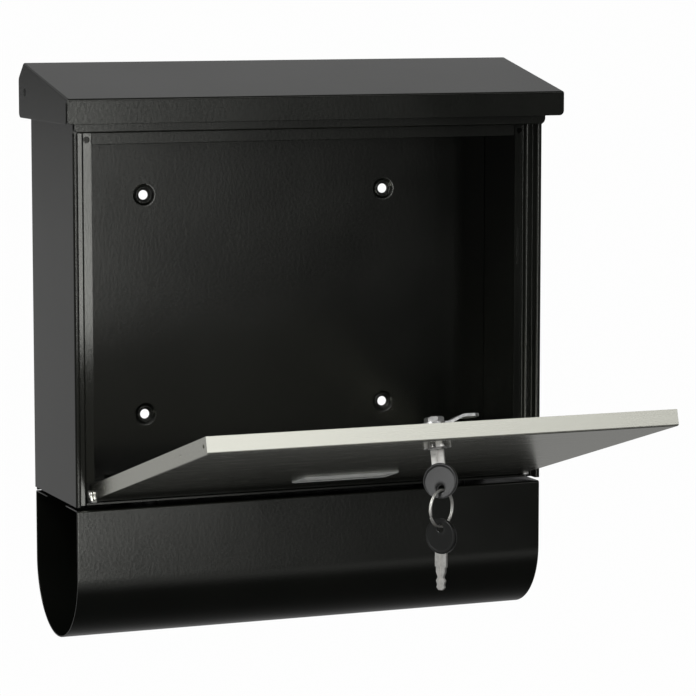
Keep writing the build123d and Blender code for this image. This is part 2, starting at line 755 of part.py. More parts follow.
with BuildPart() as key_bow:
    extrude(bow_face(KEY), amount=BOW_T / 2, both=True)
    fillet(grip_rims(key_bow, KEY), 0.7)
    extrude(pocket_face(KEY), amount=1, both=True, mode=Mode.SUBTRACT)
key_bow.part.label = "key_bow"
export_step(key_bow.part, "parts/key_bow.step")

# Key ring: two flat coils side by side, hanging through both grips.
RING_YAW = radians(30)
RING_X = Vector(cos(RING_YAW), sin(RING_YAW), 0)
RING_AXIS = Vector(sin(RING_YAW), -cos(RING_YAW), 0)
RING_TOP = KEY.from_local_coords((0, HOLE_OUT + 0.7, 0))
RING_C = RING_TOP - Vector(0, 0, RING_R)
with BuildPart() as key_ring:
    with BuildSketch(Plane(origin=RING_C, x_dir=RING_AXIS, z_dir=-RING_X)):
        with Locations((-0.5, RING_R), (0.5, RING_R)):
            RectangleRounded(1.0, WIRE, 0.25)
    revolve(axis=Axis(RING_C, RING_AXIS))
    with BuildSketch(Plane(origin=RING_C, x_dir=RING_X, z_dir=RING_AXIS)):
        with Locations((RING_R, 0)):
            Rectangle(2 * WIRE, 0.4)
    extrude(amount=1.2, mode=Mode.SUBTRACT)
key_ring.part.label = "key_ring"
export_step(key_ring.part, "parts/key_ring.step")

# Spare key: hangs from the bottom of the ring, blade down.
SPARE_HOLE = RING_C - Vector(0, 0, RING_R + 0.9)
SPARE = Plane(origin=SPARE_HOLE - Vector(0, 0, HOLE_OUT), x_dir=RING_AXIS, z_dir=-RING_X)
with BuildPart() as spare_blade:
    extrude(blade_face(SPARE), amount=1, both=True)
    extrude(groove_face(SPARE, 0.45), amount=1, dir=SPARE.z_dir, mode=Mode.SUBTRACT)
    extrude(groove_face(SPARE, -0.45), amount=1, dir=-SPARE.z_dir, mode=Mode.SUBTRACT)
spare_blade.part.label = "spare_blade"
export_step(spare_blade.part, "parts/spare_blade.step")

with BuildPart() as spare_bow:
    extrude(bow_face(SPARE), amount=BOW_T / 2, both=True)
    fillet(grip_rims(spare_bow, SPARE), 0.7)
    extrude(pocket_face(SPARE), amount=1, both=True, mode=Mode.SUBTRACT)
spare_bow.part.label = "spare_bow"
export_step(spare_bow.part, "parts/spare_bow.step")

# Newspaper roll: an open trough below the box, its two top flanges screwed under the floor.
ROLL_TOP = BASE_Z - ROLL_GAP
ROLL_END = ROLL_TOP - ROLL_H
ROLL_R = D / 2 - T / 2 - 0.1
with BuildPart() as newspaper_roll:
    trough = folded(
        side_plane(-HALF + 0.5),
        [
            (FRONT + FLANGE, ROLL_TOP - T / 2),
            (FRONT + T / 2, ROLL_TOP - T / 2),
            (FRONT + T / 2, ROLL_END + T / 2),
            (BACK - T / 2, ROLL_END + T / 2),
            (BACK - T / 2, ROLL_TOP - T / 2),
            (BACK - FLANGE, ROLL_TOP - T / 2),
        ],
        [ROLL_BEND, ROLL_R, ROLL_R, ROLL_BEND],
    )
    extrude(trough, amount=W - 1, dir=(1, 0, 0))
    with BuildSketch(Plane.XY.offset(ROLL_TOP - 2 * T)):
        for y in SCREW_Y:
            with Locations((-SCREW_X, y), (SCREW_X, y)):
                Circle(SCREW_HOLE / 2)
    extrude(amount=3 * T, mode=Mode.SUBTRACT)
newspaper_roll.part.label = "newspaper_roll"
export_step(newspaper_roll.part, "parts/newspaper_roll.step")


def four_discs(z, radius, hole):
    """Four rounds at the screw places, each with a hole or solid."""
    with BuildSketch(Plane.XY.offset(z)) as discs:
        for y in SCREW_Y:
            with Locations((-SCREW_X, y), (SCREW_X, y)):
                Circle(radius)
                if hole > 0:
                    Circle(hole, mode=Mode.SUBTRACT)
    return discs.sketch


NUT_Z = ROLL_TOP - T - NUT_H
with BuildPart() as roll_spacers:
    extrude(four_discs(ROLL_TOP, SPACER_D / 2, SCREW_HOLE / 2), amount=FLOOR_Z - T - ROLL_TOP, dir=(0, 0, 1))
roll_spacers.part.label = "roll_spacers"
export_step(roll_spacers.part, "parts/roll_spacers.step")

with BuildPart() as roll_screws:
    extrude(four_discs(NUT_Z - T, SCREW_D / 2, 0), amount=FLOOR_Z - NUT_Z + T, dir=(0, 0, 1))
    extrude(four_discs(FLOOR_Z, CAP_D / 2, 0), amount=CAP_H, dir=(0, 0, 1))
    fillet([e for e in roll_screws.edges() if e.center().Z > FLOOR_Z + 0.9 * CAP_H], 0.55 * CAP_H)
roll_screws.part.label = "roll_screws"
export_step(roll_screws.part, "parts/roll_screws.step")

with BuildPart() as roll_nuts:
    with BuildSketch(Plane.XY.offset(NUT_Z)):
        for y in SCREW_Y:
            with Locations((-SCREW_X, y), (SCREW_X, y)):
                RegularPolygon(radius=NUT_W / 2, side_count=6, major_radius=False)
                Circle(SCREW_D / 2, mode=Mode.SUBTRACT)
    extrude(amount=NUT_H)
roll_nuts.part.label = "roll_nuts"
export_step(roll_nuts.part, "parts/roll_nuts.step")
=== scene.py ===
import json
import math

import bmesh
import bpy
import numpy as np
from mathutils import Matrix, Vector

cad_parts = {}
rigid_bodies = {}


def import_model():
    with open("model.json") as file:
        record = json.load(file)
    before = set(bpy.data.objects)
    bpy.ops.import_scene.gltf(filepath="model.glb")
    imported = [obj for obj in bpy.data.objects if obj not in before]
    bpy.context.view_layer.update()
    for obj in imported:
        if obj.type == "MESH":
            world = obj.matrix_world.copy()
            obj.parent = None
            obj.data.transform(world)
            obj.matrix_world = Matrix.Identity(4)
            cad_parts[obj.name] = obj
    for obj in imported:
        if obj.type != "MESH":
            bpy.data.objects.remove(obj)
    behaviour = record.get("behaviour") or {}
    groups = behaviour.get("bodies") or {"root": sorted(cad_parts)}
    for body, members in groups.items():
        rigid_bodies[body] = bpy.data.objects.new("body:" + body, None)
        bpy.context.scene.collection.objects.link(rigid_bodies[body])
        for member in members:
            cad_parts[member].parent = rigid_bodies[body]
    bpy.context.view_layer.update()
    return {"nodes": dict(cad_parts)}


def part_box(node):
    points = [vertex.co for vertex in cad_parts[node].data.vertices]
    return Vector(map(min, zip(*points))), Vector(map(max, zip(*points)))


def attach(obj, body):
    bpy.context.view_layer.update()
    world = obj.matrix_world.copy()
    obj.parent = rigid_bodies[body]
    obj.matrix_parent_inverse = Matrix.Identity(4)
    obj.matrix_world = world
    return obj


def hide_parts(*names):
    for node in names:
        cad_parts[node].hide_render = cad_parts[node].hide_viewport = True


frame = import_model()
scene = bpy.context.scene
scene.view_settings.view_transform = "Standard"


# Sheet steel box: back, side walls, floor, header and stop rails, folded from 1 mm sheet
# and powder coated black after folding. The coat melts into a fine orange peel with a
# satin gloss, a little thicker and smoother in some places than in others.

def new_material(name):
    """A node material with one Principled shader; returns it with its node tree and shader."""
    made = bpy.data.materials.new(name)
    made.use_nodes = True
    return made, made.node_tree, made.node_tree.nodes["Principled BSDF"]


def new_group(name, inputs, outputs):
    """An empty shader node group with the named value inputs and the named outputs."""
    group = bpy.data.node_groups.new(name, "ShaderNodeTree")
    for label, value in inputs:
        socket = group.interface.new_socket(label, in_out="INPUT", socket_type="NodeSocketFloat")
        socket.default_value = value
    for label, kind in outputs:
        group.interface.new_socket(label, in_out="OUTPUT", socket_type=kind)
    return group, group.nodes.new("NodeGroupInput"), group.nodes.new("NodeGroupOutput")


def noise(tree, vector, scale, detail=2.0, roughness=0.5):
    """A noise texture read at the given coordinates; the scale is in periods per metre."""
    node = tree.nodes.new("ShaderNodeTexNoise")
    node.inputs["Detail"].default_value = detail
    node.inputs["Roughness"].default_value = roughness
    if isinstance(scale, (int, float)):
        node.inputs["Scale"].default_value = scale
    else:
        tree.links.new(scale, node.inputs["Scale"])
    tree.links.new(vector, node.inputs["Vector"])
    return node.outputs["Fac"]


def math_node(tree, operation, first, second):
    """One step of arithmetic on two values, each a socket or a number."""
    node = tree.nodes.new("ShaderNodeMath")
    node.operation = operation
    for socket, value in zip(node.inputs, (first, second)):
        if isinstance(value, (int, float)):
            socket.default_value = value
        else:
            tree.links.new(value, socket)
    return node.outputs[0]


def ramp(tree, value, low, high):
    """Colour that runs from low to high as the value runs over its middle range."""
    node = tree.nodes.new("ShaderNodeValToRGB")
    node.color_ramp.elements[0].position = 0.35
    node.color_ramp.elements[1].position = 0.65
    node.color_ramp.elements[0].color = (*low, 1.0)
    node.color_ramp.elements[1].color = (*high, 1.0)
    tree.links.new(value, node.inputs["Fac"])
    return node.outputs["Color"]


def spread(tree, value, low, high):
    """The value's middle range, stretched to run from low to high."""
    node = tree.nodes.new("ShaderNodeMapRange")
    node.inputs["From Min"].default_value = 0.3
    node.inputs["From Max"].default_value = 0.7
    node.inputs["To Min"].default_value = low
    node.inputs["To Max"].default_value = high
    tree.links.new(value, node.inputs["Value"])
    return node.outputs["Result"]


def bump(tree, shader, height, depth, strength=1.0):
    """Tilts the shader's normal by a height in metres."""
    node = tree.nodes.new("ShaderNodeBump")
    node.inputs["Strength"].default_value = strength
    node.inputs["Distance"].default_value = depth
    tree.links.new(height, node.inputs["Height"])
    tree.links.new(node.outputs["Normal"], shader.inputs["Normal"])


# Orange peel: round bumps two millimetres across with a finer grain on top of them.
peel, peel_in, peel_out = new_group(
    "orange_peel", [("Bumps", 420.0), ("Grain", 1900.0), ("Grain share", 0.4)],
    [("Height", "NodeSocketFloat"), ("Drift", "NodeSocketFloat")])
place = peel.nodes.new("ShaderNodeTexCoord").outputs["Object"]
bumps = noise(peel, place, peel_in.outputs["Bumps"], 1.0)
grain = noise(peel, place, peel_in.outputs["Grain"], 2.0)
fine = math_node(peel, "MULTIPLY", grain, peel_in.outputs["Grain share"])
peel.links.new(math_node(peel, "ADD", bumps, fine), peel_out.inputs["Height"])
peel.links.new(noise(peel, place, 9.0, 3.0), peel_out.inputs["Drift"])


def place_group(tree, group, **values):
    """Puts a node group into a material with its own values."""
    node = tree.nodes.new("ShaderNodeGroup")
    node.node_tree = group
    for label, value in values.items():
        node.inputs[label.replace("_", " ")].default_value = value
    return node


coat, tree, shader = new_material("black_powder_coat")
skin = place_group(tree, peel)
tree.links.new(ramp(tree, skin.outputs["Drift"], (0.0024, 0.0028, 0.0022), (0.0036, 0.0040, 0.0031)),
               shader.inputs["Base Color"])
tree.links.new(spread(tree, skin.outputs["Drift"], 0.19, 0.24), shader.inputs["Roughness"])
bump(tree, shader, skin.outputs["Height"], 0.00012, 0.32)
shader.inputs["Specular Tint"].default_value = (0.99, 1.0, 0.94, 1.0)


def dress(material, *nodes):
    """Gives the frame's own pieces a finish."""
    for name in nodes:
        piece = frame["nodes"][name]
        piece.data.materials.clear()
        piece.data.materials.append(material)


def put(piece, body, material):
    """Fixes a piece to a body and gives it its finish."""
    piece.data.materials.append(material)
    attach(piece, body)
    return piece


def softened(node, width, body, material):
    """A merged copy of a frame piece with its sharp edges rounded by a small width."""
    shape = bmesh.new()
    shape.from_mesh(frame["nodes"][node].data)
    bmesh.ops.remove_doubles(shape, verts=shape.verts, dist=1e-6)
    bmesh.ops.dissolve_limit(shape, angle_limit=math.radians(0.05), verts=shape.verts, edges=shape.edges)
    mesh = bpy.data.meshes.new(node + "_finished")
    shape.to_mesh(mesh)
    shape.free()
    mesh.materials.clear()
    mesh.polygons.foreach_set("use_smooth", np.ones(len(mesh.polygons), dtype=bool))
    piece = bpy.data.objects.new(node + "_finished", mesh)
    scene.collection.objects.link(piece)
    edge = piece.modifiers.new("edge", "BEVEL")
    edge.width = width
    edge.segments = 2
    edge.limit_method = "ANGLE"
    edge.angle_limit = math.radians(38.0)
    flat = piece.modifiers.new("flat", "WEIGHTED_NORMAL")
    flat.weight = 100
    put(piece, body, material)
    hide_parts(node)
    return piece


for name in ("back_panel", "left_wall", "right_wall", "floor_panel", "front_header",
             "top_stop_rail", "left_stop_rail", "right_stop_rail"):
    softened(name, 0.00045, "box", coat)
softened("roof_lid", 0.00045, "roof", coat)


def grid_piece(name, points, wrap_rows=False, wrap_columns=False):
    """A surface through a grid of points: a quad between each four neighbours, closed where it wraps."""
    rows, columns = points.shape[:2]
    row = np.arange(rows if wrap_rows else rows - 1)
    column = np.arange(columns if wrap_columns else columns - 1)
    row, column = np.meshgrid(row, column, indexing="ij")
    next_row = (row + 1) % rows
    next_column = (column + 1) % columns
    quads = np.stack([row * columns + column, row * columns + next_column,
                      next_row * columns + next_column, next_row * columns + column], axis=-1)
    mesh = bpy.data.meshes.new(name)
    mesh.from_pydata(points.reshape(-1, 3).tolist(), [], quads.reshape(-1, 4).tolist())
    mesh.polygons.foreach_set("use_smooth", np.ones(len(mesh.polygons), dtype=bool))
    mesh.update()
    piece = bpy.data.objects.new(name, mesh)
    scene.collection.objects.link(piece)
    return piece


def arc(centre, radius, start, end, steps):
    """Points on a circle about a centre, from one angle to another in degrees."""
    angle = np.radians(np.linspace(start, end, steps))
    return np.stack([centre[0] + radius * np.cos(angle), centre[1] + radius * np.sin(angle)], axis=1)


def pressed_bead(name, centre, radius, width):
    """A round ridge about a hole: a half-round section carried once round the hole's axis."""
    section = arc((radius, 0.0), width / 2, -30, 210, 13)
    angle = np.linspace(0, 2 * np.pi, 96, endpoint=False)
    points = np.empty((len(section), len(angle), 3))
    points[..., 0] = centre[0] + section[:, :1] * np.cos(angle)
    points[..., 1] = centre[1] - section[:, 1:]
    points[..., 2] = centre[2] + section[:, :1] * np.sin(angle)
    return grid_piece(name, points[:, ::-1], True, True)


bead_front = -0.0014
bead_radius = 0.0056
bead_width = 0.0018
for across_hole in (-0.095, 0.095):
    for up_hole in (-0.081, 0.081):
        bead = pressed_bead("dish_bead", (across_hole, bead_front, up_hole), bead_radius, bead_width)
        put(bead, "box", coat)


# Roof pins: plain turned rivets, blackened, with their ends just inside the cheeks.

black_steel, tree, shader = new_material("blackened_rivet")
place = tree.nodes.new("ShaderNodeTexCoord").outputs["Object"]
shader.inputs["Metallic"].default_value = 0.6
tree.links.new(ramp(tree, noise(tree, place, 700.0), (0.010, 0.010, 0.010), (0.022, 0.022, 0.021)),
               shader.inputs["Base Color"])
tree.links.new(spread(tree, noise(tree, place, 300.0), 0.45, 0.6), shader.inputs["Roughness"])
dress(black_steel, "lid_pin_left", "lid_pin_right")


# Newspaper roll: one sheet bent to an open trough, hung below the floor by its two top
# flanges. It has the same coat as the box and its bends are rolled, with no sharp edge.

roll_low, roll_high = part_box("newspaper_roll")
sheet = 0.001
roll_front = roll_low.y + sheet / 2
roll_back = roll_high.y - sheet / 2
roll_top = roll_high.z - sheet / 2
roll_radius = (roll_back - roll_front) / 2
roll_middle = (roll_front + roll_back) / 2
roll_axis = roll_low.z + sheet / 2 + roll_radius
fold = 0.0012
flange = 0.0265
roll_line = np.concatenate([
    [[roll_front + flange, roll_top]],
    arc((roll_front + fold, roll_top - fold), fold, 90, 180, 9),
    [[roll_front, roll_axis + 0.02]],
    arc((roll_middle, roll_axis), roll_radius, 180, 360, 73),
    [[roll_back, roll_axis + 0.02]],
    arc((roll_back - fold, roll_top - fold), fold, 0, 90, 9),
    [[roll_back - flange, roll_top]],
])
roll_x = np.array([roll_low.x, roll_low.x + 0.001, 0.0, roll_high.x - 0.001, roll_high.x])
roll_points = np.empty((len(roll_line), len(roll_x), 3))
roll_points[..., 0] = roll_x
roll_points[..., 1:] = roll_line[:, None, :]
roll = grid_piece("newspaper_roll_sheet", roll_points)
wall = roll.modifiers.new("sheet", "SOLIDIFY")
wall.thickness = sheet
wall.offset = 0.0
edge = roll.modifiers.new("edge", "BEVEL")
edge.width = 0.00025
edge.segments = 2
edge.limit_method = "ANGLE"
put(roll, "box", coat)
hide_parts("newspaper_roll")


# Roll fixings: zinc-plated pan screws and nuts that hold the roll below the floor, bright
# with a faint blotchy bloom, and round spacers between the two, whose zinc is painted near black as painted
# shade for the shadow they sit in.

zinc, tree, shader = new_material("zinc_plate")
place = tree.nodes.new("ShaderNodeTexCoord").outputs["Object"]
shader.inputs["Metallic"].default_value = 1.0
tree.links.new(ramp(tree, noise(tree, place, 260.0, 3.0), (0.52, 0.53, 0.53), (0.70, 0.70, 0.68)),
               shader.inputs["Base Color"])
tree.links.new(spread(tree, noise(tree, place, 420.0, 3.0), 0.24, 0.40), shader.inputs["Roughness"])
bump(tree, shader, noise(tree, place, 2600.0), 0.00002, 0.4)
dress(zinc, "roll_screws", "roll_nuts")

# Painted shade: the spacers' zinc gets a near-black colour for the shadow they sit in.
shade_darkened_zinc, tree, shader = new_material("shade_darkened_zinc")
place = tree.nodes.new("ShaderNodeTexCoord").outputs["Object"]
shader.inputs["Metallic"].default_value = 1.0
tree.links.new(ramp(tree, noise(tree, place, 260.0, 3.0), (0.06, 0.06, 0.06), (0.10, 0.10, 0.10)),
               shader.inputs["Base Color"])
tree.links.new(spread(tree, noise(tree, place, 420.0, 3.0), 0.50, 0.65), shader.inputs["Roughness"])
dress(shade_darkened_zinc, "roll_spacers")


# Hinges: small stainless ears screwed to the floor, with a round nose about each pin.

hinge_steel, tree, shader = new_material("hinge_steel")
place = tree.nodes.new("ShaderNodeTexCoord").outputs["Object"]
shader.inputs["Metallic"].default_value = 1.0
tree.links.new(ramp(tree, noise(tree, place, 500.0, 3.0), (0.66, 0.66, 0.64), (0.80, 0.80, 0.78)),
               shader.inputs["Base Color"])
tree.links.new(spread(tree, noise(tree, place, 900.0), 0.26, 0.38), shader.inputs["Roughness"])
bump(tree, shader, noise(tree, place, 3000.0), 0.00002, 0.3)
for name in ("hinge_bracket_left", "hinge_bracket_right", "hinge_pin_left", "hinge_pin_right"):
    softened(name, 0.0002, "box", hinge_steel)


# Door: a shallow pan of stainless sheet, brushed along its width before it was folded.
# The brushing leaves long fine scratches, so it shines in a soft band across the grain.

brush, brush_in, brush_out = new_group(
    "brushed_grain", [("Along", 9.0), ("Across", 2600.0)],
    [("Scratch", "NodeSocketFloat"), ("Band", "NodeSocketFloat")])
place = brush.nodes.new("ShaderNodeTexCoord").outputs["Object"]
stretch = brush.nodes.new("ShaderNodeCombineXYZ")
for socket, source in zip(stretch.inputs, ("Along", "Across", "Across")):
    brush.links.new(brush_in.outputs[source], socket)
scaled = brush.nodes.new("ShaderNodeVectorMath")
scaled.operation = "MULTIPLY"
brush.links.new(place, scaled.inputs[0])
brush.links.new(stretch.outputs[0], scaled.inputs[1])
brush.links.new(noise(brush, scaled.outputs[0], 1.0, 3.0, 0.6), brush_out.inputs["Scratch"])
brush.links.new(noise(brush, place, 14.0, 2.0), brush_out.inputs["Band"])

door_steel, tree, shader = new_material("brushed_door_steel")
lines = place_group(tree, brush)
shader.inputs["Metallic"].default_value = 1.0
tree.links.new(ramp(tree, lines.outputs["Scratch"], (0.62, 0.62, 0.555), (0.705, 0.705, 0.63)),
               shader.inputs["Base Color"])
tree.links.new(spread(tree, lines.outputs["Scratch"], 0.20, 0.28), shader.inputs["Roughness"])
bump(tree, shader, lines.outputs["Scratch"], 0.00001, 0.07)
softened("door_panel", 0.0002, "door", door_steel)


# Nameplate: a silver-grey moulded frame with a clear sheet over a plain paper card.

plate, tree, shader = new_material("silver_moulding")
place = tree.nodes.new("ShaderNodeTexCoord").outputs["Object"]
tree.links.new(ramp(tree, noise(tree, place, 180.0, 3.0), (0.44, 0.45, 0.44), (0.52, 0.53, 0.51)),
               shader.inputs["Base Color"])
tree.links.new(spread(tree, noise(tree, place, 600.0), 0.26, 0.36), shader.inputs["Roughness"])
bump(tree, shader, noise(tree, place, 2400.0), 0.00003, 0.3)
softened("nameplate_frame", 0.0003, "door", plate)

card, tree, shader = new_material("paper_card")
place = tree.nodes.new("ShaderNodeTexCoord").outputs["Object"]
tree.links.new(ramp(tree, noise(tree, place, 1500.0, 4.0), (0.70, 0.70, 0.67), (0.78, 0.78, 0.75)),
               shader.inputs["Base Color"])
shader.inputs["Roughness"].default_value = 0.85
bump(tree, shader, noise(tree, place, 3500.0, 3.0), 0.00004, 0.4)
dress(card, "name_card")

pane, tree, shader = new_material("clear_pane")
place = tree.nodes.new("ShaderNodeTexCoord").outputs["Object"]
shader.inputs["Base Color"].default_value = (0.80, 0.82, 0.82, 1.0)
shader.inputs["Alpha"].default_value = 0.3
tree.links.new(spread(tree, noise(tree, place, 90.0, 2.0), 0.03, 0.09), shader.inputs["Roughness"])
dress(pane, "nameplate_window")


# Lock: a nickel-plated cam lock. The round bezel sits on the door, the threaded barrel
# passes through it and a flat hexagon nut pulls it tight from inside.

nickel, tree, shader = new_material("nickel_plate")
place = tree.nodes.new("ShaderNodeTexCoord").outputs["Object"]
shader.inputs["Metallic"].default_value = 1.0
tree.links.new(ramp(tree, noise(tree, place, 330.0, 3.0), (0.66, 0.65, 0.62), (0.78, 0.77, 0.74)),
               shader.inputs["Base Color"])
tree.links.new(spread(tree, noise(tree, place, 650.0, 3.0), 0.14, 0.26), shader.inputs["Roughness"])
bump(tree, shader, noise(tree, place, 1800.0), 0.00001, 0.3)
dress(nickel, "lock_housing", "lock_plug", "lock_wafers")

# The door's own axes at rest: along its width, up its face and straight out of it.
turn = math.radians(74.35)
across = np.array([1.0, 0.0, 0.0])
up_door = np.array([0.0, -math.sin(turn), math.cos(turn)])
out = np.array([0.0, -math.cos(turn), -math.sin(turn)])
door_pivot = np.array([0.0, -0.0985, -0.1224])
lock_height = 0.2284
lock_at = door_pivot + lock_height * up_door


def about_lock(right, up, outward):
    """Points given along the door's width, up its face and out of it, measured from the lock's axis."""
    return (lock_at + np.asarray(right)[..., None] * across + np.asarray(up)[..., None] * up_door
            + np.asarray(outward)[..., None] * out)


def hexagon_nut(name, flats, bore, low, high):
    """Nut by angle and section: flats cut from a cone-ended round bar, with a countersunk bore."""
    angle = np.linspace(0, 2 * np.pi, 120, endpoint=False)
    side = flats / 2 / np.cos((angle + np.pi / 6) % (np.pi / 3) - np.pi / 6)
    crown = flats / 2 * 0.985
    drop = 0.14 * (high - low)
    tall = low + drop * np.clip((side - crown) / (flats / 2 * 0.155), 0, 1)
    short = high - drop * np.clip((side - crown) / (flats / 2 * 0.155), 0, 1)
    flat = np.ones_like(angle)
    section = [
        (bore * flat, (low + 0.0004) * flat), ((bore + 0.0004) * flat, low * flat),
        (crown * flat, low * flat), (side, tall), (side, short), (crown * flat, high * flat),
        ((bore + 0.0004) * flat, high * flat), (bore * flat, (high - 0.0004) * flat),
    ]
    radius = np.stack([r for r, _ in section])
    height = np.stack([h for _, h in section])
    nut = grid_piece(name, about_lock(radius * np.cos(angle), radius * np.sin(angle), height), True, True)
    nut.data.polygons.foreach_set("use_smooth", np.zeros(len(nut.data.polygons), dtype=bool))
    return nut


barrel_nut = put(hexagon_nut("barrel_nut", 0.022, 0.008, 0.0002, 0.0037), "door", zinc)
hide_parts("lock_nut")


def thread(name, root, crest, pitch, low, high):
    """A ridge of triangular section carried round a helix and sunk into its bar at both ends."""
    turns = (high - low) / pitch
    angle = np.linspace(0, 2 * np.pi * turns, int(72 * turns))
    fade = np.clip(np.minimum(angle, angle[-1] - angle) / 0.8, 0, 1)
    rise = low + pitch * angle / (2 * np.pi)
    radius = np.stack([root - 0.0002 + 0 * fade, root + (crest - root) * fade, root - 0.0002 + 0 * fade])
    height = np.stack([rise - 0.36 * pitch, rise, rise + 0.36 * pitch])
    return grid_piece(name, about_lock(radius * np.cos(angle), radius * np.sin(angle), height), True, False)


put(thread("barrel_thread", 0.008, 0.0083, 0.001, -0.0072, -0.0003), "door", nickel)


# Cam and its nut: a cranked zinc arm on the plug's square tail, held by a small nut.

softened("lock_cam", 0.0003, "plug", zinc)
tail_nut = put(hexagon_nut("tail_nut", 0.0115, 0.003, -0.0136, -0.0101), "plug", zinc)
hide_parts("cam_nut")


# Keys: stamped and nickel-plated blades in round black grips, moulded over the blade's
# end with a narrow raised rim and a collar round the ring hole. Both faces are bare.

key_nickel, tree, shader = new_material("key_nickel")
place = tree.nodes.new("ShaderNodeTexCoord").outputs["Object"]
shader.inputs["Metallic"].default_value = 1.0
tree.links.new(ramp(tree, noise(tree, place, 420.0, 3.0), (0.80, 0.79, 0.75), (0.92, 0.91, 0.87)),
               shader.inputs["Base Color"])
tree.links.new(spread(tree, noise(tree, place, 300.0, 2.0), 0.42, 0.54), shader.inputs["Roughness"])
bump(tree, shader, noise(tree, place, 1400.0, 1.0), 0.000004, 0.2)
softened("key_blade", 0.00015, "key", key_nickel)
softened("spare_blade", 0.00015, "spare", key_nickel)

grip_plastic, tree, shader = new_material("black_grip_plastic")
skin = place_group(tree, peel, Bumps=1600.0, Grain=4200.0)
tree.links.new(ramp(tree, skin.outputs["Drift"], (0.008, 0.0085, 0.008), (0.012, 0.0125, 0.0115)),
               shader.inputs["Base Color"])
tree.links.new(spread(tree, skin.outputs["Drift"], 0.25, 0.32), shader.inputs["Roughness"])
bump(tree, shader, skin.outputs["Height"], 0.00004, 0.5)


def key_grip(name, origin, side, length, thick):
    """Grip by angle and section: rings that run from the ring hole out to the rim, over it and back."""
    angle = np.linspace(0, 2 * np.pi, 128, endpoint=False)
    half = 0.0016
    well = half - 0.00012
    hole_edge = [(0.0, well - 0.00035), (0.012, well - 0.00012), (0.04, well)]
    face = [(0.20, well), (0.40, well), (0.60, well), (0.80, well), (0.87, well)]
    rim = [(0.89, half), (0.95, half), (0.985, half - 0.00012), (0.997, half - 0.0004), (1.0, half - 0.0008)]
    section = np.array(hole_edge + face + rim)
    share = np.concatenate([section[:, 0], section[::-1, 0]])
    height = np.concatenate([section[:, 1], -section[::-1, 1]])
    hole_r, grip_r, hole_n, grip_n = 0.00265, 0.01175, 0.034, 0.0285
    ring_r = hole_r + (grip_r - hole_r) * share[:, None]
    ring_n = hole_n + (grip_n - hole_n) * share[:, None]
    width = ring_r * np.cos(angle)
    rise = ring_n + ring_r * np.sin(angle)
    deep = np.repeat(height[:, None], len(angle), axis=1)
    points = (np.asarray(origin) + width[..., None] * side + rise[..., None] * length
              + deep[..., None] * thick)
    return grid_piece(name, points, True, True)


key_turn = math.radians(42.0)
key_side = math.cos(key_turn) * across + math.sin(key_turn) * up_door
lock_grip = put(key_grip("lock_key_grip", lock_at, key_side, out, np.cross(key_side, out)),
                "key", grip_plastic)
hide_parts("key_bow")

ring_yaw = math.radians(30.0)
ring_along = np.array([math.cos(ring_yaw), math.sin(ring_yaw), 0.0])
ring_axis = np.array([math.sin(ring_yaw), -math.cos(ring_yaw), 0.0])
ring_radius = 0.01215
ring_hang = 0.0347
spare_drop = ring_radius + 0.0009 + 0.034
ring_centre = lock_at + ring_hang * out - np.array([0.0, 0.0, ring_radius])
spare_origin = ring_centre - np.array([0.0, 0.0, spare_drop])
spare_grip = put(key_grip("spare_key_grip", spare_origin, ring_axis, np.array([0.0, 0.0, 1.0]), -ring_along),
                 "spare", grip_plastic)
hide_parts("spare_bow")


# Key ring: a split ring of flat spring wire wound twice, with a short crank where the
# wire steps from one coil to the other and its ends lie against it.

def split_ring(name, width, height, gap):
    """Wire section carried round two turns; it steps sideways by one wire in the first part of the second."""
    angle = np.linspace(np.radians(gap), 4 * np.pi - np.radians(gap), 400)
    step = np.clip((angle - 1.9 * np.pi) / (0.2 * np.pi), 0, 1)
    step = step * step * (3 - 2 * step)
    shift = (step - 0.5) * width * 1.02
    corner = np.radians(np.linspace(0, 360, 17)[:-1])
    bulge = 0.6
    wide = width / 2 * np.sign(np.cos(corner)) * np.abs(np.cos(corner)) ** bulge
    tall = height / 2 * np.sign(np.sin(corner)) * np.abs(np.sin(corner)) ** bulge
    taper = np.ones((len(angle), 1))
    taper[[0, -1]] = 0.02
    radial = ring_radius + tall * taper
    axial = shift[:, None] + wide * taper
    start = np.radians(200.0)
    turn_x = radial * np.cos(angle + start)[:, None]
    turn_z = radial * np.sin(angle + start)[:, None]
    points = (ring_centre + turn_x[..., None] * ring_along + turn_z[..., None] * np.array([0.0, 0.0, 1.0])
              + axial[..., None] * ring_axis)
    return grid_piece(name, points, False, True)


wire_ring = put(split_ring("split_ring", 0.00096, 0.0013, 2.0), "ring", key_nickel)
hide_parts("key_ring")


# Studio: a pale floor well below the box and white behind it. A wide softbox and a narrow
# one stand in front, others to the left, to the right and high up. What metal sees of the
# room is pale grey behind the box and dark in front of it.

def gradient(tree, value, start, end, low, high):
    """A level that eases from low to high while the value runs from start to end."""
    node = tree.nodes.new("ShaderNodeMapRange")
    node.interpolation_type = "SMOOTHSTEP"
    for socket, number in zip(node.inputs[1:5], (start, end, low, high)):
        socket.default_value = number
    tree.links.new(value, node.inputs["Value"])
    return node.outputs["Result"]


def seen_white(tree, level):
    """Full white to the camera and through glass, and the given level to every other ray."""
    rays = tree.nodes.new("ShaderNodeLightPath")
    direct = math_node(tree, "MAXIMUM", rays.outputs["Is Camera Ray"], rays.outputs["Is Transmission Ray"])
    return math_node(tree, "MAXIMUM", direct, level), direct, rays.outputs["Is Glossy Ray"]


